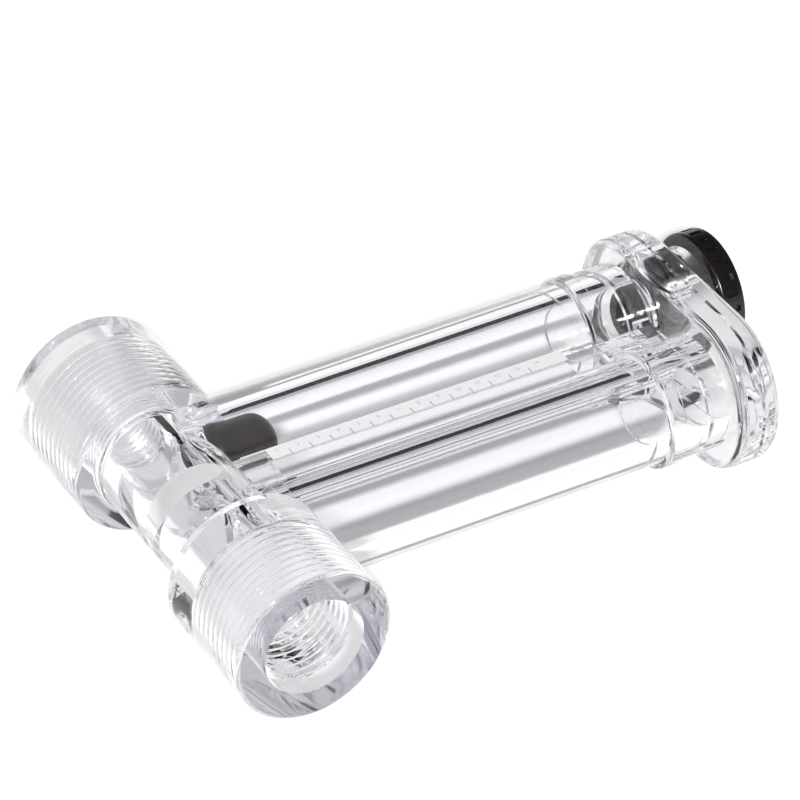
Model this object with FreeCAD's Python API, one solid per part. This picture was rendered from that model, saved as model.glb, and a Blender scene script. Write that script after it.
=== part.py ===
"""Flow indicator: a clear moulded U-shaped flow path with a float, lying on its side.

Water enters one threaded port of the cross pipe, lifts the float along the sight tube,
turns round in the end header and leaves through the return tube and the other port.
The part is drawn with the cross pipe along Y and the tubes along X. The centre of the
cross pipe is the drawing's zero, and each piece is moved to the part's own origin,
at the middle of its footprint on the surface that it lies on, when it is written.
"""
import os

import FreeCAD
import Part

Vector = FreeCAD.Vector
X_AXIS = Vector(1, 0, 0)
Y_AXIS = Vector(0, 1, 0)
SAME_PLACE = 1e-4

# Cross pipe and its two ports
PORT_DIAMETER = 34.0
PORT_LENGTH = 28.2
NECK_DIAMETER = 23.6
NECK_LENGTH = 38.0
PORT_EDGE_ROUND = 0.8
NECK_FILLET = 1.5
LEAD_IN_DIAMETER = 21.6
LEAD_IN_DEPTH = 4.2
THREAD_BORE = 18.6
THREAD_LENGTH = 16.8
RUN_OUT_BORE = 18.0
RUN_OUT_LENGTH = 2.2
GALLERY_DIAMETER = 13.0
PARTITION_THICKNESS = 6.0

# Sight tube and return tube, moulded in one with the cross pipe, the web and the scale panel
TUBE_SPACING = 29.0
TUBE_DIAMETER = 22.6
TUBE_LENGTH = 82.0
BOSS_DIAMETER = 23.2
BOSS_REACH = 12.2
BOSS_EDGE_ROUND = 0.25
BORE_FLOOR = 8.2
BORE_START_DIAMETER = 12.8
BORE_END_DIAMETER = 13.8
RETURN_BORE_DIAMETER = 14.4
SEAT_DIAMETER = 10.0
SPIGOT_DIAMETER = 17.1
BOND_GAP = 0.03
SPIGOT_END_GAP = 0.2
WEB_TOP = 5.7
WEB_THICKNESS = 2.4
PANEL_THICKNESS = 4.2
PANEL_START_SETBACK = 5.6
PANEL_END_SETBACK = 7.6

# End header that joins the two tubes
LIP_DIAMETER = 25.2
LIP_LENGTH = 3.5
LIP_ROUND = 0.9
BARREL_DIAMETER = 24.2
BARREL_LENGTH = 13.8
SOCKET_DEPTH = 10.5
CHAMBER_DIAMETER = 13.8
CHANNEL_HEIGHT = 7.0
CHANNEL_WALL = 1.0
BRIDGE_HEIGHT = 10.6
FLANGE_THICKNESS = 5.2
FLANGE_ROUND = 2.0
SEAM_CHAMFER = 0.4

# Cover plate that closes the header, with the boss for the screw plug
COVER_THICKNESS = 4.8
COVER_ROUND = 2.4
PLUG_BOSS_DIAMETER = 21.8
PLUG_BOSS_LENGTH = 7.0
PLUG_BOSS_ROUND = 0.6
SEAL_BORE = 13.9
SEAL_LENGTH = 3.8
PLUG_THREAD = 15.0
PLUG_THREAD_CLEARANCE = 0.08

# Screw plug with its ribbed head
NOSE_DIAMETER = 12.3
NOSE_LENGTH = 5.4
NOSE_HOLE = 6.6
NOSE_HOLE_DEPTH = 9.0
NOSE_ROUND = 0.5
LAND_CLEARANCE = 0.15
GROOVE_WIDTH = 2.2
GROOVE_SETBACK = 0.8
HEAD_GAP = 0.3
HEAD_DIAMETER = 26.6
HEAD_THICKNESS = 5.3
HEAD_ROUND = 0.6
RIB_COUNT = 24
RIB_GROOVE_WIDTH = 1.4
RIB_GROOVE_DEPTH = 0.7
RIB_BAND_SETBACK = 1.3

# O-ring on the plug
RING_SECTION = 1.76
RING_CLEARANCE = 0.02

# Float
FLOAT_DIAMETER = 11.8
FLOAT_LENGTH = 16.0
FLOAT_SEAT_ROUND = 3.0
FLOAT_TOP_ROUND = 5.4
FLOAT_SEAT_GAP = 0.3

# Stations along X, from the cross pipe to the plug's outer face
tube_end = BOSS_REACH + TUBE_LENGTH
socket_floor = tube_end + SOCKET_DEPTH
flange_front = tube_end + BARREL_LENGTH
seam = flange_front + FLANGE_THICKNESS
cover_back = seam + COVER_THICKNESS
plug_boss_end = cover_back + PLUG_BOSS_LENGTH
head_front = plug_boss_end + HEAD_GAP
head_back = head_front + HEAD_THICKNESS
nose_front = seam - NOSE_LENGTH

# Stations across Y, the flange that lies as low as the ports do, and the part's own origin
port_face = NECK_LENGTH / 2 + PORT_LENGTH
flange_diameter = PORT_DIAMETER
sight_y = TUBE_SPACING / 2
return_y = -TUBE_SPACING / 2
ORIGIN_SHIFT = Vector((PORT_DIAMETER / 2 - head_back) / 2, 0, PORT_DIAMETER / 2)


def rounded_wire(corners):
    """Closed wire through (point, rounding) corners, with a tangent arc at each rounding."""
    edges = []
    joints = []
    for index, (point, rounding) in enumerate(corners):
        if rounding == 0:
            joints.append((point, point))
            continue
        before = (corners[index - 1][0] - point).normalize()
        after = (corners[(index + 1) % len(corners)][0] - point).normalize()
        bisector = (before + after).normalize()
        sine = abs(bisector.cross(after).Length)
        reach = rounding * bisector.dot(after) / sine
        middle = point + bisector * (rounding / sine - rounding)
        entry, leave = point + before * reach, point + after * reach
        edges.append(Part.Arc(entry, middle, leave).toShape())
        joints.append((entry, leave))
    for index, (_, leave) in enumerate(joints):
        entry = joints[(index + 1) % len(joints)][0]
        if leave.distanceToPoint(entry) > SAME_PLACE:
            edges.append(Part.LineSegment(leave, entry).toShape())
    return Part.Wire(Part.__sortEdges__(edges))


def turned_x(corners, y):
    """Solid of revolution about the X line at the given Y, from (x, radius, rounding) corners."""
    wire = rounded_wire([(Vector(x, y + radius, 0), rounding) for x, radius, rounding in corners])
    return Part.Face(wire).revolve(Vector(0, y, 0), X_AXIS, 360)


def turned_y(corners):
    """Solid of revolution about the Y axis, from (y, radius, rounding) corners."""
    wire = rounded_wire([(Vector(radius, y, 0), rounding) for y, radius, rounding in corners])
    return Part.Face(wire).revolve(Vector(0, 0, 0), Y_AXIS, 360)


def rod_x(diameter, x_start, x_end, y):
    """Cylinder along X."""
    return Part.makeCylinder(diameter / 2, x_end - x_start, Vector(x_start, y, 0), X_AXIS)


def bar(x_start, x_end, height, z_top):
    """Box between the two tube axes."""
    corner = Vector(x_start, return_y, z_top - height)
    return Part.makeBox(x_end - x_start, TUBE_SPACING, height, corner)


def racetrack(diameter, x_start, x_end):
    """Plate with a round end on each tube axis."""
    middle = bar(x_start, x_end, diameter, diameter / 2)
    ends = [rod_x(diameter, x_start, x_end, y) for y in (sight_y, return_y)]
    return middle.fuse(ends).removeSplitter()


def rim_edges(solid, x):
    """Edges of a plate that lie in the plane at the given X."""
    found = []
    for edge in solid.Edges:
        box = edge.BoundBox
        if max(abs(box.XMin - x), abs(box.XMax - x)) < SAME_PLACE:
            found.append(edge)
    return found


def port_bore(side):
    """Lead-in, plain thread bore with its run-out, and gallery of one port, up to the partition."""
    lead_end = port_face - LEAD_IN_DEPTH
    thread_end = lead_end - THREAD_LENGTH
    run_out_end = thread_end - RUN_OUT_LENGTH
    gallery_end = PARTITION_THICKNESS / 2
    steps = [
        (port_face, 0),
        (port_face, LEAD_IN_DIAMETER / 2),
        (lead_end, LEAD_IN_DIAMETER / 2),
        (lead_end, THREAD_BORE / 2),
        (thread_end, THREAD_BORE / 2),
        (thread_end, RUN_OUT_BORE / 2),
        (run_out_end, RUN_OUT_BORE / 2),
        (run_out_end, GALLERY_DIAMETER / 2),
        (gallery_end, GALLERY_DIAMETER / 2),
        (gallery_end, 0),
    ]
    return turned_y([(side * y, radius, 0) for y, radius in steps])


def cross_pipe():
    """Outside of the cross pipe: a port at each end of the neck."""
    port_radius, neck_radius, neck_end = PORT_DIAMETER / 2, NECK_DIAMETER / 2, NECK_LENGTH / 2
    half = [
        (neck_end, neck_radius, NECK_FILLET),
        (neck_end, port_radius, PORT_EDGE_ROUND),
        (port_face, port_radius, PORT_EDGE_ROUND),
        (port_face, 0, 0),
    ]
    mirrored = [(-y, radius, rounding) for y, radius, rounding in reversed(half)]
    return turned_y(mirrored + half)


def tube_outside(y):
    """Outside of one tube: the boss at the cross pipe, the tube and its spigot for the header."""
    spigot_end = socket_floor - SPIGOT_END_GAP
    outline = [
        (0, 0, 0),
        (0, BOSS_DIAMETER / 2, 0),
        (BOSS_REACH, BOSS_DIAMETER / 2, BOSS_EDGE_ROUND),
        (BOSS_REACH, TUBE_DIAMETER / 2, 0),
        (tube_end, TUBE_DIAMETER / 2, 0),
        (tube_end, SPIGOT_DIAMETER / 2, 0),
        (spigot_end, SPIGOT_DIAMETER / 2, 0),
        (spigot_end, 0, 0),
    ]
    return turned_x(outline, y)


def sight_bore():
    """Bore of the sight tube, widening towards the header, with the narrower seat hole at its floor."""
    length = socket_floor - BORE_FLOOR
    radii = BORE_START_DIAMETER / 2, BORE_END_DIAMETER / 2
    taper = Part.makeCone(*radii, length, Vector(BORE_FLOOR, sight_y, 0), X_AXIS)
    return taper.fuse(rod_x(SEAT_DIAMETER, 0, BORE_FLOOR, sight_y))


def return_bore():
    """Plain bore of the return tube, with the narrower hole at its floor."""
    bore = rod_x(RETURN_BORE_DIAMETER, BORE_FLOOR, socket_floor, return_y)
    return bore.fuse(rod_x(SEAT_DIAMETER, 0, BORE_FLOOR, return_y))


def make_flow_body():
    """Cross pipe, both tubes, the web between them and its thicker scale panel, moulded as one piece."""
    web = bar(0, tube_end, WEB_THICKNESS, WEB_TOP)
    panel_start = BOSS_REACH + PANEL_START_SETBACK
    panel = bar(panel_start, tube_end - PANEL_END_SETBACK, PANEL_THICKNESS, WEB_TOP)
    body = cross_pipe().fuse([tube_outside(sight_y), tube_outside(return_y), web, panel]).removeSplitter()
    return body.cut([port_bore(1), port_bore(-1), sight_bore(), return_bore()])


def make_header():
    """Two sockets with lips on an oblong flange, with the cross channel that joins the tubes."""
    flange = racetrack(flange_diameter, flange_front, seam)
    flange = flange.makeFillet(FLANGE_ROUND, rim_edges(flange, flange_front))
    flange = flange.makeChamfer(SEAM_CHAMFER, rim_edges(flange, seam))
    barrel = [
        (tube_end, 0, 0),
        (tube_end, LIP_DIAMETER / 2, LIP_ROUND),
        (tube_end + LIP_LENGTH, LIP_DIAMETER / 2, 0),
        (tube_end + LIP_LENGTH, BARREL_DIAMETER / 2, 0),
        (seam, BARREL_DIAMETER / 2, 0),
        (seam, 0, 0),
    ]
    bridge = bar(tube_end, seam, BRIDGE_HEIGHT, BRIDGE_HEIGHT / 2)
    header = flange.fuse([turned_x(barrel, sight_y), turned_x(barrel, return_y), bridge]).removeSplitter()
    cuts = [bar(socket_floor + CHANNEL_WALL, seam, CHANNEL_HEIGHT, CHANNEL_HEIGHT / 2)]
    for y, chamber_diameter in ((sight_y, CHAMBER_DIAMETER), (return_y, RETURN_BORE_DIAMETER)):
        cuts.append(rod_x(SPIGOT_DIAMETER + 2 * BOND_GAP, tube_end, socket_floor, y))
        cuts.append(rod_x(chamber_diameter, socket_floor, seam, y))
    return header.cut(cuts)


def make_header_cover():
    """Plate that closes the header, with the tapped boss on the sight tube's axis."""
    plate = racetrack(flange_diameter, seam, cover_back)
    plate = plate.makeFillet(COVER_ROUND, rim_edges(plate, cover_back))
    plate = plate.makeChamfer(SEAM_CHAMFER, rim_edges(plate, seam))
    boss = [
        (seam + COVER_THICKNESS / 2, 0, 0),
        (seam + COVER_THICKNESS / 2, PLUG_BOSS_DIAMETER / 2, 0),
        (plug_boss_end, PLUG_BOSS_DIAMETER / 2, PLUG_BOSS_ROUND),
        (plug_boss_end, 0, 0),
    ]
    cover = plate.fuse(turned_x(boss, sight_y)).removeSplitter()
    seal_end = seam + SEAL_LENGTH
    seal = rod_x(SEAL_BORE, seam, seal_end, sight_y)
    thread = rod_x(PLUG_THREAD + 2 * PLUG_THREAD_CLEARANCE, seal_end, plug_boss_end, sight_y)
    return cover.cut([seal, thread])


def ring_radius():
    """Radius of the circle that the O-ring's section follows."""
    return SEAL_BORE / 2 - RING_CLEARANCE - RING_SECTION / 2


def groove_start():
    """Station where the O-ring groove in the plug begins."""
    return seam + GROOVE_SETBACK


def make_screw_plug():
    """Plug with a hollow nose, an O-ring groove, a plain thread and a ribbed head."""
    land = SEAL_BORE / 2 - LAND_CLEARANCE
    groove_floor = ring_radius() - RING_SECTION / 2 - RING_CLEARANCE
    groove_end = groove_start() + GROOVE_WIDTH
    thread_start = seam + SEAL_LENGTH + PLUG_THREAD_CLEARANCE
    outline = [
        (nose_front, 0, 0),
        (nose_front, NOSE_DIAMETER / 2, NOSE_ROUND),
        (seam, NOSE_DIAMETER / 2, 0),
        (seam, land, 0),
        (groove_start(), land, 0),
        (groove_start(), groove_floor, 0),
        (groove_end, groove_floor, 0),
        (groove_end, land, 0),
        (thread_start, land, 0),
        (thread_start, PLUG_THREAD / 2, 0),
        (head_front, PLUG_THREAD / 2, 0),
        (head_front, HEAD_DIAMETER / 2, HEAD_ROUND),
        (head_back, HEAD_DIAMETER / 2, HEAD_ROUND),
        (head_back, 0, 0),
    ]
    plug = turned_x(outline, sight_y)
    cuts = [rod_x(NOSE_HOLE, nose_front, nose_front + NOSE_HOLE_DEPTH, sight_y)]
    groove_floor_z = HEAD_DIAMETER / 2 - RIB_GROOVE_DEPTH
    groove_corner = Vector(head_front + RIB_BAND_SETBACK, sight_y - RIB_GROOVE_WIDTH / 2, groove_floor_z)
    groove_length = HEAD_THICKNESS - 2 * RIB_BAND_SETBACK
    groove = Part.makeBox(groove_length, RIB_GROOVE_WIDTH, HEAD_DIAMETER / 2, groove_corner)
    for index in range(RIB_COUNT):
        turn = groove.copy()
        turn.rotate(Vector(0, sight_y, 0), X_AXIS, index * 360 / RIB_COUNT)
        cuts.append(turn)
    return plug.cut(cuts)


def make_plug_o_ring():
    """Rubber ring in the plug's groove."""
    centre = Vector(groove_start() + GROOVE_WIDTH / 2, sight_y, 0)
    return Part.makeTorus(ring_radius(), RING_SECTION / 2, centre, X_AXIS)


def make_float():
    """Plain float with a domed end towards the header."""
    float_start = BORE_FLOOR + FLOAT_SEAT_GAP
    float_end = float_start + FLOAT_LENGTH
    outline = [
        (float_start, 0, 0),
        (float_start, FLOAT_DIAMETER / 2, FLOAT_SEAT_ROUND),
        (float_end, FLOAT_DIAMETER / 2, FLOAT_TOP_ROUND),
        (float_end, 0, 0),
    ]
    return turned_x(outline, sight_y)


PIECES = {
    "flow_body": make_flow_body,
    "end_header": make_header,
    "header_cover": make_header_cover,
    "screw_plug": make_screw_plug,
    "plug_o_ring": make_plug_o_ring,
    "float": make_float,
}


def main():
    os.makedirs("parts", exist_ok=True)
    for name, make in PIECES.items():
        piece = make()
        piece.translate(ORIGIN_SHIFT)
        piece.exportStep(os.path.join("parts", name + ".step"))
        print(f"{name}: {len(piece.Solids)} solid, {piece.Volume:.1f} mm3, valid {piece.isValid()}")


main()
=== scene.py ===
"""Looks of the clear flow indicator: moulded plastic, threads, printed scale and a plain studio.

Sizes are in millimetres, in the drawing whose zero is the centre of the cross pipe.
place() turns a point of that drawing into the part's frame, in metres.
"""

import math

import bmesh
import bpy
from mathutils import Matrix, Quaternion, Vector


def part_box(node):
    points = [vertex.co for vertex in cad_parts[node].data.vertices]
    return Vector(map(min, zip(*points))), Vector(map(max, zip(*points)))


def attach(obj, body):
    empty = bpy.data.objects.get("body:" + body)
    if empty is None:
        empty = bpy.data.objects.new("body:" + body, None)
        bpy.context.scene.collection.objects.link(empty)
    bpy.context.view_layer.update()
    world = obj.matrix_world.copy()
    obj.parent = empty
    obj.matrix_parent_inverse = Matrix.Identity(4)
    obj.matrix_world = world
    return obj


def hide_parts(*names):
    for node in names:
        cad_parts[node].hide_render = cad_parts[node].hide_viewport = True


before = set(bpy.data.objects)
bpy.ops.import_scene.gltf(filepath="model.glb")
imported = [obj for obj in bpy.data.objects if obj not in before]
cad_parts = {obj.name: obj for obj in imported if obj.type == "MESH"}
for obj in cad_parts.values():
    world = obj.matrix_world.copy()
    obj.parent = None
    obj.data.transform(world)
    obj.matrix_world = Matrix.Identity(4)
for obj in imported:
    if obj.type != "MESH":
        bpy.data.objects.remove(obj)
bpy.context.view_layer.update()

# Meshes
MM = 0.001
ROUND_STEPS = 192
ARC_STEPS = 6
THREAD_STEPS = 128
THREAD_LEVELS = 8
SMOOTH_ANGLE = math.radians(32)
SAME_PLACE = 0.005
MERGE_DISTANCE = 0.0001
CAP_RADIUS = 0.01
CUT_OVERSHOOT = 1.0

# Cross pipe and ports
PORT_DIAMETER = 34.0
PORT_LENGTH = 28.2
NECK_DIAMETER = 23.6
NECK_LENGTH = 38.0
PORT_EDGE_ROUND = 0.8
NECK_FILLET = 1.5
LEAD_IN_DIAMETER = 21.6
LEAD_IN_DEPTH = 4.2
THREAD_BORE = 18.6
THREAD_LENGTH = 19.0
THREAD_PITCH = 1.814
THREAD_DEPTH = 1.25
THREAD_TAPER = 1 / 32
MOUTH_FADE_TURNS = 0.25
GALLERY_DIAMETER = 13.0
PARTITION_THICKNESS = 6.0

# Sight tube, return tube and scale panel
TUBE_SPACING = 29.0
TUBE_DIAMETER = 22.6
TUBE_LENGTH = 82.0
BOSS_DIAMETER = 23.2
BOSS_REACH = 12.2
BOSS_EDGE_ROUND = 0.25
BORE_FLOOR = 8.2
BORE_START_DIAMETER = 12.8
BORE_END_DIAMETER = 13.8
RETURN_BORE_DIAMETER = 14.4
SEAT_DIAMETER = 10.0
SPIGOT_DIAMETER = 17.1
BOND_GAP = 0.03
SPIGOT_END_GAP = 0.2
WEB_TOP = 5.7
WEB_THICKNESS = 2.4
PANEL_THICKNESS = 4.2
PANEL_START_SETBACK = 5.6
PANEL_END_SETBACK = 7.6

# Printed scale on the panel, over a strip of painted light: an even white in place of the lit floor
# seen through the panel
TICK_COUNT = 13
TICK_START = 22.2
TICK_PITCH = 4.64
TICK_WIDTH = 0.3
TICK_NEAR_Y = 0.7
TICK_FAR_Y = 2.6
NUMBER_START = 19.9
NUMBER_COUNT = 14
NUMBER_Y = 2.8
NUMBER_HEIGHT = 0.95
FONT_CAPITAL = 0.7
PAINTED_STRIP_NEAR_Y = 1.1
PAINTED_STRIP_FAR_Y = 4.6
PRINT_THICKNESS = 0.02
PRINT_GAP = 0.002

# End header and cover
LIP_DIAMETER = 25.2
LIP_LENGTH = 3.5
LIP_ROUND = 0.9
BARREL_DIAMETER = 24.2
BARREL_LENGTH = 13.8
SOCKET_DEPTH = 10.5
CHAMBER_DIAMETER = 13.8
CHANNEL_HEIGHT = 7.0
CHANNEL_WALL = 1.0
BRIDGE_HEIGHT = 10.6
FLANGE_THICKNESS = 5.2
FLANGE_ROUND = 2.0
SEAM_CHAMFER = 0.4
COVER_THICKNESS = 4.8
COVER_ROUND = 2.4
PLUG_BOSS_DIAMETER = 21.8
PLUG_BOSS_LENGTH = 7.0
PLUG_BOSS_ROUND = 0.6
SEAL_BORE = 13.9
SEAL_LENGTH = 3.8
PLUG_BORE = 15.16
BOND_IMPRINT = 0.02

# Order of the finishes on a clear piece
CLEAR_FINISH = 0
WELDED_FINISH = 1
SATIN_AND_SHADE_FINISH = 2

# Finishes, with the depths of ripple and grain in metres
CLEAR_COLOUR = (0.97, 0.962, 0.977, 1)
CLEAR_ROUGHNESS = 0.01
CLEAR_IOR = 1.5
# Ports' end faces: satin roughness, and a dark grey tint that is painted shade on the same clear
# plastic
PORT_FACE_PAINTED_SHADE = (0.42, 0.41, 0.46, 1)
PORT_FACE_ROUGHNESS = 0.1
RIPPLE_SCALE = 90.0
RIPPLE_DETAIL = 2.0
RIPPLE_STRENGTH = 0.03
RIPPLE_DEPTH = 0.001
GRAIN_DETAIL = 4.0
GRAIN_DEPTH = 0.0005

# Light that the clear plastic lets through, by place and by slant
PORT_PASSES = 0.72
PORT_FACE_PASSES = 0.6
HEADER_PASSES = 0.88
SLANT_CLEAR = 0.14
SLANT_DARK = 0.18
SLANT_EDGE = 0.47
LIGHT_PASSED = (1, 1, 1, 1)
LIGHT_BENT = (0.12, 0.12, 0.14, 1)
LIGHT_AT_EDGE = (0.7, 0.7, 0.72, 1)

# Camera, in metres, with its lens in millimetres
CAMERA_AZIMUTH = math.radians(-31.06)
CAMERA_ELEVATION = math.radians(37.11)
CAMERA_ROLL = math.radians(1.31)
CAMERA_DISTANCE = 0.9908
CAMERA_TARGET = Vector((-0.00327, 0.0123, 0.017))
CAMERA_LENS = 219.2
CAMERA_FAR_LIMIT = 20.0

# Floor, lamp and dark card, in metres
FLOOR_SIZE = 6.0
FLOOR_COLOUR = (0.9, 0.9, 0.9, 1)
FLOOR_ROUGHNESS = 0.9
FLOOR_GLOW = (1, 1, 1, 1)
FLOOR_LIFT = 0.4
FLOOR_LIFT_IN_PLASTIC = 0.27
KEY_AZIMUTH = math.radians(-31)
KEY_ELEVATION = math.radians(35.5)
KEY_DISTANCE = 2.5
KEY_SIZE = 0.25
KEY_POWER = 90.0
CARD_Y = 0.36
CARD_LOW = 0.068
CARD_HIGH = 0.185
CARD_LEFT = 0.098
CARD_RIGHT = 0.24
CARD_COLOUR = (0.01, 0.01, 0.012, 1)
CARD_ROUGHNESS = 1.0

# Room that clear and glossy surfaces show: its levels by the direction's Z, its grey panel by X
FILL_COLOUR = (0.17, 0.17, 0.17, 1)
HORIZON_COLOUR = (0.92, 0.92, 0.92, 1)
WALL = (0.42, 0.42, 0.48, 1)
LIGHT_WALL = (0.58, 0.58, 0.65, 1)
DIM_WALL = (0.08, 0.08, 0.08, 1)
CEILING = (0.88, 0.87, 0.9, 1)
HORIZON_TOP = 0.1
WALL_LOW = 0.25
WALL_HIGH = 0.45
CEILING_START = 0.62
OFF_PANEL = (0, 0, 0, 1)
ON_PANEL = (1, 1, 1, 1)
PANEL_EDGES = ((0.24, OFF_PANEL), (0.34, ON_PANEL), (0.48, ON_PANEL), (0.56, OFF_PANEL))

# Light paths
BOUNCES = 32
GLOSSY_BOUNCES = 16

# Places and radii that follow from the sizes
port_radius = PORT_DIAMETER / 2
port_face = NECK_LENGTH / 2 + PORT_LENGTH
lead_end = port_face - LEAD_IN_DEPTH
thread_end = lead_end - THREAD_LENGTH
sight_y = TUBE_SPACING / 2
return_y = -TUBE_SPACING / 2
tube_end = BOSS_REACH + TUBE_LENGTH
panel_start = BOSS_REACH + PANEL_START_SETBACK
panel_end = tube_end - PANEL_END_SETBACK
painted_strip_top = WEB_TOP + PRINT_THICKNESS
marks_low = painted_strip_top + PRINT_GAP
socket_floor = tube_end + SOCKET_DEPTH
flange_front = tube_end + BARREL_LENGTH
flange_radius = port_radius
seam = flange_front + FLANGE_THICKNESS
cover_back = seam + COVER_THICKNESS
plug_boss_end = cover_back + PLUG_BOSS_LENGTH

body_low, body_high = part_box("flow_body")
pipe_centre = Vector((body_low.x + port_radius * MM, 0, (body_low.z + body_high.z) / 2))


def place(x, y, z):
    """Point of the drawing in the part's frame."""
    return pipe_centre + Vector((x, y, z)) * MM


def drawing(point):
    """Point of the part's frame in the drawing."""
    return (point - pipe_centre) / MM


def new_object(name, data):
    """Object in the scene."""
    made = bpy.data.objects.new(name, data)
    bpy.context.scene.collection.objects.link(made)
    return made


def closed(name, shape):
    """Object of a closed mesh whose normals point out."""
    bmesh.ops.remove_doubles(shape, verts=shape.verts, dist=MERGE_DISTANCE * MM)
    bmesh.ops.recalc_face_normals(shape, faces=shape.faces)
    mesh = bpy.data.meshes.new(name)
    shape.to_mesh(mesh)
    shape.free()
    return new_object(name, mesh)


def outline(corners):
    """Points along (station, radius, rounding) corners, with an arc at each rounding."""
    points = []
    for index, (station, radius, rounding) in enumerate(corners):
        corner = Vector((station, radius))
        if rounding == 0:
            points.append(corner)
            continue
        before = (Vector(corners[index - 1][:2]) - corner).normalized()
        after = (Vector(corners[index + 1][:2]) - corner).normalized()
        half = before.angle(after) / 2
        centre = corner + (before + after).normalized() * rounding / math.sin(half)
        start = corner + before * rounding / math.tan(half) - centre
        end = corner + after * rounding / math.tan(half) - centre
        for step in range(ARC_STEPS + 1):
            # slerp() gives a vector of length 1
            points.append(centre + start.slerp(end, step / ARC_STEPS) * rounding)
    return points


def ring_angle(step, steps):
    """Angle of a ring's corner, half a step off, so that no corner lies straight above an axis."""
    return (step + 0.5) * math.tau / steps


def lathe(name, corners, spot):
    """Closed mesh of rings, one for each point of the outline, with a flat cap at each end."""
    shape = bmesh.new()
    rings = []
    for station, radius in outline(corners):
        ring = []
        for step in range(ROUND_STEPS):
            angle = ring_angle(step, ROUND_STEPS)
            point = spot(station, radius * math.cos(angle), radius * math.sin(angle))
            ring.append(shape.verts.new(place(*point)))
        rings.append(ring)
    for one, two in zip(rings, rings[1:]):
        for step in range(ROUND_STEPS):
            follow = (step + 1) % ROUND_STEPS
            shape.faces.new((one[step], one[follow], two[follow], two[step]))
    shape.faces.new(rings[0])
    shape.faces.new(rings[-1])
    return closed(name, shape)


def turned_x(name, corners, y):
    """Round solid along a tube axis."""
    return lathe(name, corners, lambda station, across, up: (station, y + across, up))


def turned_y(name, corners):
    """Round solid along the cross pipe's axis."""
    return lathe(name, corners, lambda station, across, up: (across, station, up))


def racetrack(name, corners):
    """Plate with a round end on each tube axis."""
    def spread(station, across, up):
        return station, across + math.copysign(sight_y, across), up
    return lathe(name, corners, spread)


def rod_x(name, diameter, x_start, x_end, y):
    """Plain rod along a tube axis."""
    return turned_x(name, [(x_start, diameter / 2, 0), (x_end, diameter / 2, 0)], y)


def add_box(shape, low, high):
    """Box between two corners of the drawing."""
    for vert in bmesh.ops.create_cube(shape, size=1)["verts"]:
        vert.co = place(*(high[axis] if vert.co[axis] > 0 else low[axis] for axis in range(3)))


def bar(name, x_start, x_end, height, z_top):
    """Box from one tube axis to the other."""
    shape = bmesh.new()
    add_box(shape, (x_start, return_y, z_top - height), (x_end, sight_y, z_top))
    return closed(name, shape)


def combined(base, operation, tools):
    """The base with the tools joined to it or cut from it. The tools are used up."""
    for tool in tools:
        change = base.modifiers.new(tool.name, "BOOLEAN")
        change.object = tool
        change.operation = operation
        change.solver = "MANIFOLD"
    seen = bpy.context.evaluated_depsgraph_get()
    mesh = bpy.data.meshes.new_from_object(base.evaluated_get(seen))
    base.modifiers.clear()
    base.data = mesh
    for tool in tools:
        bpy.data.objects.remove(tool)
    return base


def thread_radius(y, height, y_low, y_high):
    """Radius of the thread's cut at y, with height 0 on the crest and 1 on the root."""
    fade = min(1, (y - y_low) / THREAD_PITCH, (y_high - y) / (THREAD_PITCH * MOUTH_FADE_TURNS))
    middle = lead_end - THREAD_LENGTH / 2
    crest = THREAD_BORE / 2 + (y - middle) * THREAD_TAPER
    return crest + THREAD_DEPTH * height * fade


def thread_cut(name, y_low, y_high, side):
    """Helical cut with the form of a taper pipe thread, fading out at both ends."""
    turns = math.ceil((y_high - y_low) / THREAD_PITCH) + 1
    shape = bmesh.new()
    rows = []
    for level in range(-THREAD_LEVELS, turns * THREAD_LEVELS):
        share = level % THREAD_LEVELS / THREAD_LEVELS
        height = (1 - math.cos(share * math.tau)) / 2
        row = []
        for step in range(THREAD_STEPS):
            wanted = y_low + THREAD_PITCH * (level / THREAD_LEVELS + step / THREAD_STEPS)
            y = min(max(wanted, y_low), y_high)
            radius = thread_radius(y, height, y_low, y_high)
            angle = ring_angle(step, THREAD_STEPS)
            point = place(radius * math.cos(angle), side * y, -side * radius * math.sin(angle))
            row.append(shape.verts.new(point))
        rows.append(row)
    for index in range(len(rows) - 1):
        for step in range(THREAD_STEPS):
            last = step == THREAD_STEPS - 1
            beside = index + THREAD_LEVELS if last else index
            if beside + 1 >= len(rows):
                continue
            follow = 0 if last else step + 1
            shape.faces.new((
                rows[index][step],
                rows[beside][follow],
                rows[beside + 1][follow],
                rows[index + 1][step],
            ))
    bmesh.ops.remove_doubles(shape, verts=shape.verts, dist=MERGE_DISTANCE * MM)
    bmesh.ops.dissolve_degenerate(shape, edges=shape.edges, dist=MERGE_DISTANCE * MM)
    rim = [edge for edge in shape.edges if edge.is_boundary]
    bmesh.ops.holes_fill(shape, edges=rim, sides=0)
    return closed(name, shape)


def port_cuts(side):
    """Lead-in, thread and gallery of one port."""
    mouth = [
        (side * (port_face + CUT_OVERSHOOT), LEAD_IN_DIAMETER / 2, 0),
        (side * lead_end, LEAD_IN_DIAMETER / 2, 0),
    ]
    gallery = [
        (side * (thread_end + CUT_OVERSHOOT), GALLERY_DIAMETER / 2, 0),
        (side * PARTITION_THICKNESS / 2, GALLERY_DIAMETER / 2, 0),
    ]
    thread = thread_cut("thread_cut", thread_end, lead_end + THREAD_PITCH, side)
    return [turned_y("mouth_cut", mouth), thread, turned_y("gallery_cut", gallery)]


def cross_pipe():
    """Outside of the cross pipe and its ports."""
    half = [
        (NECK_LENGTH / 2, NECK_DIAMETER / 2, NECK_FILLET),
        (NECK_LENGTH / 2, port_radius, PORT_EDGE_ROUND),
        (port_face, port_radius, PORT_EDGE_ROUND),
        (port_face, CAP_RADIUS, 0),
    ]
    mirrored = [(-y, radius, rounding) for y, radius, rounding in reversed(half)]
    return turned_y("flow_body_clear", mirrored + half)


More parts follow.
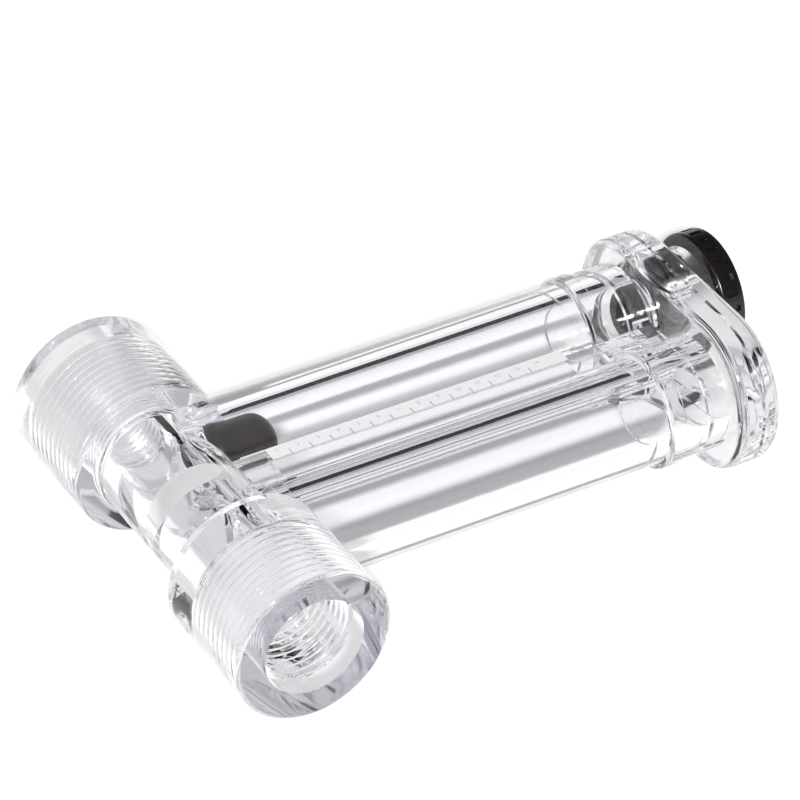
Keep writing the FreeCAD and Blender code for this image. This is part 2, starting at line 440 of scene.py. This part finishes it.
def tube_outside(y):
    """Tube with its boss on the cross pipe and its spigot for the header."""
    spigot_end = socket_floor - SPIGOT_END_GAP
    return turned_x("tube", [
        (0, BOSS_DIAMETER / 2, 0),
        (BOSS_REACH, BOSS_DIAMETER / 2, BOSS_EDGE_ROUND),
        (BOSS_REACH, TUBE_DIAMETER / 2, 0),
        (tube_end, TUBE_DIAMETER / 2, 0),
        (tube_end, SPIGOT_DIAMETER / 2, 0),
        (spigot_end, SPIGOT_DIAMETER / 2, 0),
    ], y)


def tube_bore(y, start_diameter, end_diameter):
    """Cut for a tube's bore and for its opening to the cross pipe."""
    return turned_x("bore", [
        (0, SEAT_DIAMETER / 2, 0),
        (BORE_FLOOR, SEAT_DIAMETER / 2, 0),
        (BORE_FLOOR, start_diameter / 2, 0),
        (socket_floor, end_diameter / 2, 0),
    ], y)


def flow_body():
    """Cross pipe, tubes, web and scale panel in one moulding."""
    body = cross_pipe()
    web = bar("web", 0, tube_end - BOND_IMPRINT, WEB_THICKNESS, WEB_TOP)
    panel = bar("panel", panel_start, panel_end, PANEL_THICKNESS, WEB_TOP)
    combined(body, "UNION", [tube_outside(sight_y), tube_outside(return_y), web, panel])
    sight_bore = tube_bore(sight_y, BORE_START_DIAMETER, BORE_END_DIAMETER)
    return_bore = tube_bore(return_y, RETURN_BORE_DIAMETER, RETURN_BORE_DIAMETER)
    cuts = port_cuts(1) + port_cuts(-1) + [sight_bore, return_bore]
    return combined(body, "DIFFERENCE", cuts)


def end_header():
    """Flange with a lipped socket for each tube and a channel between them."""
    header = racetrack("end_header_clear", [
        (flange_front, CAP_RADIUS, 0),
        (flange_front, flange_radius, FLANGE_ROUND),
        (seam - SEAM_CHAMFER, flange_radius, 0),
        (seam, flange_radius - SEAM_CHAMFER, 0),
    ])
    barrel = [
        (tube_end, CAP_RADIUS, 0),
        (tube_end, TUBE_DIAMETER / 2, 0),
        (tube_end, LIP_DIAMETER / 2, LIP_ROUND),
        (tube_end + LIP_LENGTH, LIP_DIAMETER / 2, 0),
        (tube_end + LIP_LENGTH, BARREL_DIAMETER / 2, 0),
        (seam, BARREL_DIAMETER / 2, 0),
    ]
    barrels = [turned_x("barrel", barrel, y) for y in (sight_y, return_y)]
    bridge = bar("bridge", tube_end, seam, BRIDGE_HEIGHT, BRIDGE_HEIGHT / 2)
    combined(header, "UNION", barrels + [bridge])
    past_seam = seam + CUT_OVERSHOOT
    channel_start = socket_floor + CHANNEL_WALL
    chamber_start = socket_floor - CUT_OVERSHOOT
    socket_bore = SPIGOT_DIAMETER + 2 * BOND_GAP
    cuts = [bar("channel", channel_start, past_seam, CHANNEL_HEIGHT, CHANNEL_HEIGHT / 2)]
    for y in (sight_y, return_y):
        cuts.append(rod_x("socket", socket_bore, tube_end - CUT_OVERSHOOT, socket_floor, y))
    cuts.append(rod_x("chamber", CHAMBER_DIAMETER, chamber_start, past_seam, sight_y))
    cuts.append(rod_x("chamber", RETURN_BORE_DIAMETER, chamber_start, past_seam, return_y))
    return combined(header, "DIFFERENCE", cuts)


def header_cover():
    """Cover plate with the plug's boss."""
    cover = racetrack("header_cover_clear", [
        (seam, flange_radius - SEAM_CHAMFER, 0),
        (seam + SEAM_CHAMFER, flange_radius, 0),
        (cover_back, flange_radius, COVER_ROUND),
        (cover_back, CAP_RADIUS, 0),
    ])
    boss = [
        (seam + COVER_THICKNESS / 2, PLUG_BOSS_DIAMETER / 2, 0),
        (plug_boss_end, PLUG_BOSS_DIAMETER / 2, PLUG_BOSS_ROUND),
        (plug_boss_end, CAP_RADIUS, 0),
    ]
    combined(cover, "UNION", [turned_x("plug_boss", boss, sight_y)])
    imprint = seam + BOND_IMPRINT
    before_seam = seam - CUT_OVERSHOOT
    seal_end = seam + SEAL_LENGTH
    cuts = [
        rod_x("seal_bore", SEAL_BORE, before_seam, seal_end, sight_y),
        rod_x("plug_bore", PLUG_BORE, seal_end, plug_boss_end + CUT_OVERSHOOT, sight_y),
        bar("channel_imprint", before_seam, imprint, CHANNEL_HEIGHT, CHANNEL_HEIGHT / 2),
        rod_x("chamber_imprint", RETURN_BORE_DIAMETER, before_seam, imprint, return_y),
    ]
    return combined(cover, "DIFFERENCE", cuts)


def off_axis(point):
    """Distance of a drawing point from the nearer tube axis."""
    return math.hypot(abs(point.y) - sight_y, point.z)


def off_pipe(point):
    """Distance of a drawing point from the cross pipe's axis."""
    return math.hypot(point.x, point.z)


def body_bond(point):
    """Whether a point of the flow body is welded to the header."""
    bore = BORE_END_DIAMETER if point.y > 0 else RETURN_BORE_DIAMETER
    return point.x > tube_end - SAME_PLACE and off_axis(point) > bore / 2 + SAME_PLACE


def header_bond(point):
    """Whether a point of the header is welded to the cover or to a tube."""
    on_seam = point.x > seam - SAME_PLACE
    socket_reach = SPIGOT_DIAMETER / 2 + 2 * BOND_GAP
    in_socket = point.x < socket_floor + SAME_PLACE and off_axis(point) < socket_reach
    on_tube = point.x < tube_end + SAME_PLACE and off_axis(point) < TUBE_DIAMETER / 2
    return on_seam or in_socket or on_tube


def cover_bond(point):
    """Whether a point of the cover is welded to the header."""
    return point.x < seam + SAME_PLACE


def face_finish(point, is_bond):
    """Number of a face's finish: satin with a tint of painted shade on the ports' ends, welded in a
    joint and clear elsewhere.
    """
    if abs(point.y) > port_face - SAME_PLACE:
        return SATIN_AND_SHADE_FINISH
    return WELDED_FINISH if is_bond(point) else CLEAR_FINISH


def light_bend(point):
    """Share of slanting light that a face throws aside, as a lens does: all on the tubes' outsides."""
    if off_pipe(point) < port_radius + SAME_PLACE or point.x > tube_end:
        return 0.0
    panel_low = WEB_TOP - PANEL_THICKNESS
    on_web = panel_low - SAME_PLACE < point.z < WEB_TOP + SAME_PLACE and abs(point.y) < sight_y
    return 0.0 if on_web or off_axis(point) < SPIGOT_DIAMETER / 2 else 1.0


def light_passed(point):
    """Share of light that a face lets through: less on the ports and the header, which are thick."""
    if point.x > tube_end:
        return HEADER_PASSES
    if not LEAD_IN_DIAMETER / 2 < off_pipe(point) < port_radius + SAME_PLACE:
        return 1.0
    return PORT_FACE_PASSES if abs(point.y) > port_face - PORT_EDGE_ROUND else PORT_PASSES


def finish_clear(piece, node, is_bond, finishes):
    """Give a clear piece its finishes, smooth shading and light values, in place of the node."""
    mesh = piece.data
    mesh.materials.clear()
    for finish in finishes:
        mesh.materials.append(finish)
    bends_light = mesh.attributes.new("bends_light", "FLOAT", "FACE")
    passes_light = mesh.attributes.new("passes_light", "FLOAT", "FACE")
    for face in mesh.polygons:
        middle = drawing(face.center)
        face.use_smooth = True
        face.material_index = face_finish(middle, is_bond)
        bends_light.data[face.index].value = light_bend(middle)
        passes_light.data[face.index].value = light_passed(middle)
    mesh.set_sharp_from_angle(angle=SMOOTH_ANGLE)
    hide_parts(node)
    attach(piece, "housing")


def lay_on_panel(panel_layer, ink):
    """Give a layer on the panel its finish and let it move with the housing: ink for the printed marks,
    painted light for the white strip.
    """
    panel_layer.data.materials.append(ink)
    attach(panel_layer, "housing")


def scale_painted_light_strip(painted_light_white):
    """Strip of painted light under the ticks and numbers: an even white in place of the lit floor seen
    through the clear panel.
    """
    shape = bmesh.new()
    painted_strip_low = WEB_TOP + PRINT_GAP
    add_box(shape, (panel_start, PAINTED_STRIP_NEAR_Y, painted_strip_low), (panel_end, PAINTED_STRIP_FAR_Y, painted_strip_top))
    lay_on_panel(closed("scale_painted_light_strip", shape), painted_light_white)


def scale_ticks(ink):
    """Row of ticks along the panel."""
    shape = bmesh.new()
    marks_top = painted_strip_top + PRINT_THICKNESS
    for index in range(TICK_COUNT):
        start = TICK_START + index * TICK_PITCH - TICK_WIDTH / 2
        end = start + TICK_WIDTH
        add_box(shape, (start, TICK_NEAR_Y, marks_low), (end, TICK_FAR_Y, marks_top))
    lay_on_panel(closed("scale_ticks", shape), ink)


def number_mesh(text):
    """Mesh of a number, lying flat around its own zero."""
    lettering = bpy.data.curves.new("number", "FONT")
    lettering.body = text
    lettering.align_x = "CENTER"
    lettering.size = NUMBER_HEIGHT / FONT_CAPITAL
    lettering.extrude = PRINT_THICKNESS / 2
    written = new_object("number", lettering)
    seen = bpy.context.evaluated_depsgraph_get()
    mesh = bpy.data.meshes.new_from_object(written.evaluated_get(seen))
    bpy.data.objects.remove(written)
    return mesh


def scale_numbers(ink):
    """Plain counts beside the ticks."""
    shape = bmesh.new()
    marks_middle = marks_low + PRINT_THICKNESS / 2
    for index in range(NUMBER_COUNT):
        number_x = NUMBER_START + index * TICK_PITCH
        mesh = number_mesh(str(index + 1))
        for vert in mesh.vertices:
            x, y, z = vert.co
            vert.co = place(number_x + x, NUMBER_Y + y, marks_middle + z)
        shape.from_mesh(mesh)
        bpy.data.meshes.remove(mesh)
    mesh = bpy.data.meshes.new("scale_numbers")
    shape.to_mesh(mesh)
    shape.free()
    lay_on_panel(new_object("scale_numbers", mesh), ink)


def new_material(name):
    """Material with its node tree and its main shader."""
    made = bpy.data.materials.new(name)
    made.use_nodes = True
    tree = made.node_tree
    return made, tree, tree.nodes["Principled BSDF"]


def feed(tree, value, target):
    """Link a node's output to an input, or set the input to a plain value."""
    if isinstance(value, bpy.types.NodeSocket):
        tree.links.new(value, target)
    else:
        target.default_value = value


def maths(tree, operation, one, two):
    """Value worked out from two others."""
    node = tree.nodes.new("ShaderNodeMath")
    node.operation = operation
    feed(tree, one, node.inputs[0])
    feed(tree, two, node.inputs[1])
    return node.outputs["Value"]


def ramp(tree, factor, stops):
    """Colour that runs through the stops, each a position and a colour, with the factor."""
    node = tree.nodes.new("ShaderNodeValToRGB")
    elements = node.color_ramp.elements
    for index, (position, colour) in enumerate(stops):
        if index < len(elements):
            elements[index].position = position
        else:
            elements.new(position)
        elements[index].color = colour
    tree.links.new(factor, node.inputs["Fac"])
    return node.outputs["Color"]


def face_value(tree, name):
    """Value that finish_clear() gave each face."""
    node = tree.nodes.new("ShaderNodeAttribute")
    node.attribute_name = name
    return node.outputs["Fac"]


def object_noise(tree, scale, detail):
    """Noise fixed to the piece."""
    coordinates = tree.nodes.new("ShaderNodeTexCoord")
    noise = tree.nodes.new("ShaderNodeTexNoise")
    noise.inputs["Scale"].default_value = scale
    noise.inputs["Detail"].default_value = detail
    tree.links.new(coordinates.outputs["Object"], noise.inputs["Vector"])
    return noise.outputs["Fac"]


def add_bump(tree, shader, height, strength, depth):
    """Small relief on a finish."""
    bump = tree.nodes.new("ShaderNodeBump")
    bump.inputs["Strength"].default_value = strength
    bump.inputs["Distance"].default_value = depth
    tree.links.new(height, bump.inputs["Height"])
    tree.links.new(bump.outputs["Normal"], shader.inputs["Normal"])


def light_through(tree):
    """See-through shader that passes less light where a tube bends it or the plastic is thick."""
    slant = tree.nodes.new("ShaderNodeLayerWeight").outputs["Facing"]
    bent_slant = maths(tree, "MULTIPLY", slant, face_value(tree, "bends_light"))
    share = ramp(tree, bent_slant, [
        (SLANT_CLEAR, LIGHT_PASSED),
        (SLANT_DARK, LIGHT_BENT),
        (SLANT_EDGE, LIGHT_BENT),
        (1.0, LIGHT_AT_EDGE),
    ])
    both = tree.nodes.new("ShaderNodeMixRGB")
    both.blend_type = "MULTIPLY"
    both.inputs["Fac"].default_value = 1.0
    tree.links.new(share, both.inputs["Color1"])
    tree.links.new(face_value(tree, "passes_light"), both.inputs["Color2"])
    through = tree.nodes.new("ShaderNodeBsdfTransparent")
    tree.links.new(both.outputs["Color"], through.inputs["Color"])
    return through.outputs["BSDF"]


def clear_plastic(name, colour, roughness):
    """Plastic that is glass to the camera. Shadow rays and diffuse rays go straight through it."""
    made, tree, shader = new_material(name)
    shader.inputs["Base Color"].default_value = colour
    shader.inputs["Roughness"].default_value = roughness
    shader.inputs["IOR"].default_value = CLEAR_IOR
    shader.inputs["Transmission Weight"].default_value = 1.0
    ripple = object_noise(tree, RIPPLE_SCALE, RIPPLE_DETAIL)
    add_bump(tree, shader, ripple, RIPPLE_STRENGTH, RIPPLE_DEPTH)
    passed = light_through(tree)
    path = tree.nodes.new("ShaderNodeLightPath")
    surface = shader.outputs["BSDF"]
    for ray in ("Is Shadow Ray", "Is Diffuse Ray"):
        choice = tree.nodes.new("ShaderNodeMixShader")
        tree.links.new(path.outputs[ray], choice.inputs["Fac"])
        tree.links.new(surface, choice.inputs[1])
        tree.links.new(passed, choice.inputs[2])
        surface = choice.outputs["Shader"]
    tree.links.new(surface, tree.nodes["Material Output"].inputs["Surface"])
    return made


def welded_plastic():
    """Faces inside a weld, where light goes on as in one solid."""
    made, tree, shader = new_material("welded_plastic")
    tree.nodes.remove(shader)
    through = tree.nodes.new("ShaderNodeBsdfTransparent")
    tree.links.new(through.outputs["BSDF"], tree.nodes["Material Output"].inputs["Surface"])
    return made


def grained(name, low, high, roughness, grain_scale, grain_strength, shine=0.5):
    """Finish with a fine grain between two colours."""
    made, tree, shader = new_material(name)
    grain = object_noise(tree, grain_scale, GRAIN_DETAIL)
    colour = ramp(tree, grain, [(0.0, low), (1.0, high)])
    tree.links.new(colour, shader.inputs["Base Color"])
    shader.inputs["Roughness"].default_value = roughness
    shader.inputs["Specular IOR Level"].default_value = shine
    add_bump(tree, shader, grain, grain_strength, GRAIN_DEPTH)
    return made


def black_plastic():
    """Finish of the screw plug."""
    return grained(
        "black_plastic",
        low=(0.004, 0.0035, 0.003, 1),
        high=(0.01, 0.008, 0.007, 1),
        roughness=0.25,
        grain_scale=400.0,
        grain_strength=0.05,
    )


def seal_rubber():
    """Finish of the O-ring."""
    return grained(
        "seal_rubber",
        low=(0.008, 0.008, 0.008, 1),
        high=(0.016, 0.016, 0.016, 1),
        roughness=0.6,
        grain_scale=800.0,
        grain_strength=0.1,
    )


def float_plastic():
    """Finish of the float."""
    return grained(
        "float_plastic",
        low=(0.004, 0.003, 0.003, 1),
        high=(0.02, 0.014, 0.012, 1),
        roughness=0.35,
        grain_scale=300.0,
        grain_strength=0.05,
        shine=0.25,
    )


def print_and_painted_light_finish(name, low, high):
    """Finish of a printed layer, used also for the white strip of painted light."""
    return grained(name, low, high, roughness=0.5, grain_scale=900.0, grain_strength=0.02)


def dress_node(node, material):
    """Give a CAD node its finish."""
    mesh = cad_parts[node].data
    mesh.materials.clear()
    mesh.materials.append(material)


def plane(name, corners):
    """Flat piece of the studio."""
    mesh = bpy.data.meshes.new(name)
    mesh.from_pydata(corners, [], [range(len(corners))])
    made = new_object(name, mesh)
    return made


def matt(name, colour, roughness):
    """Material of the studio's planes, with no shine."""
    made, tree, shader = new_material(name)
    shader.inputs["Base Color"].default_value = colour
    shader.inputs["Roughness"].default_value = roughness
    shader.inputs["Specular IOR Level"].default_value = 0.0
    return made, tree, shader


def make_floor():
    """White floor, lifted to full white for the camera and a little less for what the plastic shows."""
    half = FLOOR_SIZE / 2
    floor = plane("floor", [(-half, -half, 0), (half, -half, 0), (half, half, 0), (-half, half, 0)])
    made, tree, shader = matt("floor_white", FLOOR_COLOUR, FLOOR_ROUGHNESS)
    path = tree.nodes.new("ShaderNodeLightPath").outputs
    sent_on = maths(tree, "MAXIMUM", path["Is Glossy Ray"], path["Is Transmission Ray"])
    direct = maths(tree, "MULTIPLY", path["Is Camera Ray"], FLOOR_LIFT)
    indirect = maths(tree, "MULTIPLY", sent_on, FLOOR_LIFT_IN_PLASTIC)
    lift = maths(tree, "ADD", direct, indirect)
    shader.inputs["Emission Color"].default_value = FLOOR_GLOW
    tree.links.new(lift, shader.inputs["Emission Strength"])
    floor.data.materials.append(made)


def make_dark_card():
    """Dark board behind the object, which only clear and glossy surfaces show."""
    card = plane("dark_card", [
        (CARD_LEFT, CARD_Y, CARD_LOW),
        (CARD_RIGHT, CARD_Y, CARD_LOW),
        (CARD_RIGHT, CARD_Y, CARD_HIGH),
        (CARD_LEFT, CARD_Y, CARD_HIGH),
    ])
    made, _, _ = matt("dark_card", CARD_COLOUR, CARD_ROUGHNESS)
    card.data.materials.append(made)
    card.visible_camera = False
    card.visible_diffuse = False
    card.visible_shadow = False


def room_direction(tree):
    """X, Y and Z of the direction in which the room is seen."""
    coordinates = tree.nodes.new("ShaderNodeTexCoord")
    split = tree.nodes.new("ShaderNodeSeparateXYZ")
    tree.links.new(coordinates.outputs["Generated"], split.inputs["Vector"])
    return split.outputs


def room_seen(tree, wall, ceiling):
    """Room that is white at the horizon, with a darker wall above it and a ceiling."""
    return ramp(tree, room_direction(tree)["Z"], [
        (HORIZON_TOP, HORIZON_COLOUR),
        (WALL_LOW, wall),
        (WALL_HIGH, wall),
        (CEILING_START, ceiling),
    ])


def on_grey_panel(tree):
    """1 for directions to the grey part of the room's wall, which is light on both sides of it."""
    return ramp(tree, room_direction(tree)["X"], PANEL_EDGES)


def chosen(tree, factor, otherwise, colour):
    """The colour where the factor is 1, and otherwise the other one."""
    node = tree.nodes.new("ShaderNodeMixRGB")
    tree.links.new(factor, node.inputs["Fac"])
    feed(tree, otherwise, node.inputs["Color1"])
    feed(tree, colour, node.inputs["Color2"])
    return node.outputs["Color"]


def make_world():
    """Even fill light. Clear and glossy surfaces show a room that is white at the horizon."""
    world = bpy.data.worlds.new("studio")
    bpy.context.scene.world = world
    world.use_nodes = True
    tree = world.node_tree
    path = tree.nodes.new("ShaderNodeLightPath").outputs
    dim_room = room_seen(tree, DIM_WALL, DIM_WALL)
    light_room = room_seen(tree, LIGHT_WALL, CEILING)
    grey_room = room_seen(tree, WALL, CEILING)
    mirrored = chosen(tree, path["Is Glossy Ray"], FILL_COLOUR, dim_room)
    room = chosen(tree, on_grey_panel(tree), light_room, grey_room)
    seen = chosen(tree, path["Is Transmission Ray"], mirrored, room)
    tree.links.new(seen, tree.nodes["Background"].inputs["Color"])


def aim(made, azimuth, elevation, distance, roll=0.0):
    """Put a camera or lamp at a distance, facing the object.

    Azimuth is 0 in front of the object and grows to the right.
    """
    level = math.cos(elevation)
    back = Vector((math.sin(azimuth) * level, -math.cos(azimuth) * level, math.sin(elevation)))
    made.location = CAMERA_TARGET + back * distance
    made.rotation_mode = "QUATERNION"
    made.rotation_quaternion = (-back).to_track_quat("-Z", "Y") @ Quaternion((0, 0, 1), roll)


def make_key_light():
    """Lamp behind the camera, hidden from rays that pass through the plastic."""
    lamp = bpy.data.lights.new("key_light", "AREA")
    lamp.shape = "DISK"
    lamp.size = KEY_SIZE
    lamp.energy = KEY_POWER
    made = new_object("key_light", lamp)
    made.visible_transmission = False
    aim(made, KEY_AZIMUTH, KEY_ELEVATION, KEY_DISTANCE)


def make_camera():
    """Camera of the photo's view."""
    data = bpy.data.cameras.new("camera")
    data.lens = CAMERA_LENS
    data.clip_end = CAMERA_FAR_LIMIT
    made = new_object("camera", data)
    aim(made, CAMERA_AZIMUTH, CAMERA_ELEVATION, CAMERA_DISTANCE, CAMERA_ROLL)
    bpy.context.scene.camera = made


def make_studio():
    """Light settings, camera, floor, card, room and lamp."""
    scene = bpy.context.scene
    scene.view_settings.view_transform = "Standard"
    scene.cycles.max_bounces = BOUNCES
    scene.cycles.transmission_bounces = BOUNCES
    scene.cycles.glossy_bounces = GLOSSY_BOUNCES
    scene.cycles.transparent_max_bounces = BOUNCES
    scene.cycles.caustics_reflective = False
    scene.cycles.caustics_refractive = False
    scene.cycles.blur_glossy = 0
    scene.cycles.sample_clamp_indirect = 0
    make_camera()
    make_floor()
    make_dark_card()
    make_world()
    make_key_light()


make_studio()
clear = clear_plastic("clear_plastic", CLEAR_COLOUR, CLEAR_ROUGHNESS)
# Satin on the ports' ends, whose dark grey tint is painted shade
satin_and_painted_shade = clear_plastic("satin_painted_shade_plastic", PORT_FACE_PAINTED_SHADE, PORT_FACE_ROUGHNESS)
welded = welded_plastic()
finish_clear(flow_body(), "flow_body", body_bond, [clear, welded, satin_and_painted_shade])
finish_clear(end_header(), "end_header", header_bond, [clear, welded])
finish_clear(header_cover(), "header_cover", cover_bond, [clear, welded])
dress_node("screw_plug", black_plastic())
dress_node("plug_o_ring", seal_rubber())
dress_node("float", float_plastic())
ink = print_and_painted_light_finish("scale_print", low=(0.42, 0.41, 0.48, 1), high=(0.52, 0.51, 0.58, 1))
# Even white of painted light, in place of the lit floor seen through the panel
painted_light_white = print_and_painted_light_finish("scale_painted_light_strip", low=(0.84, 0.84, 0.86, 1), high=(0.9, 0.9, 0.91, 1))
scale_painted_light_strip(painted_light_white)
scale_ticks(ink)
scale_numbers(ink)
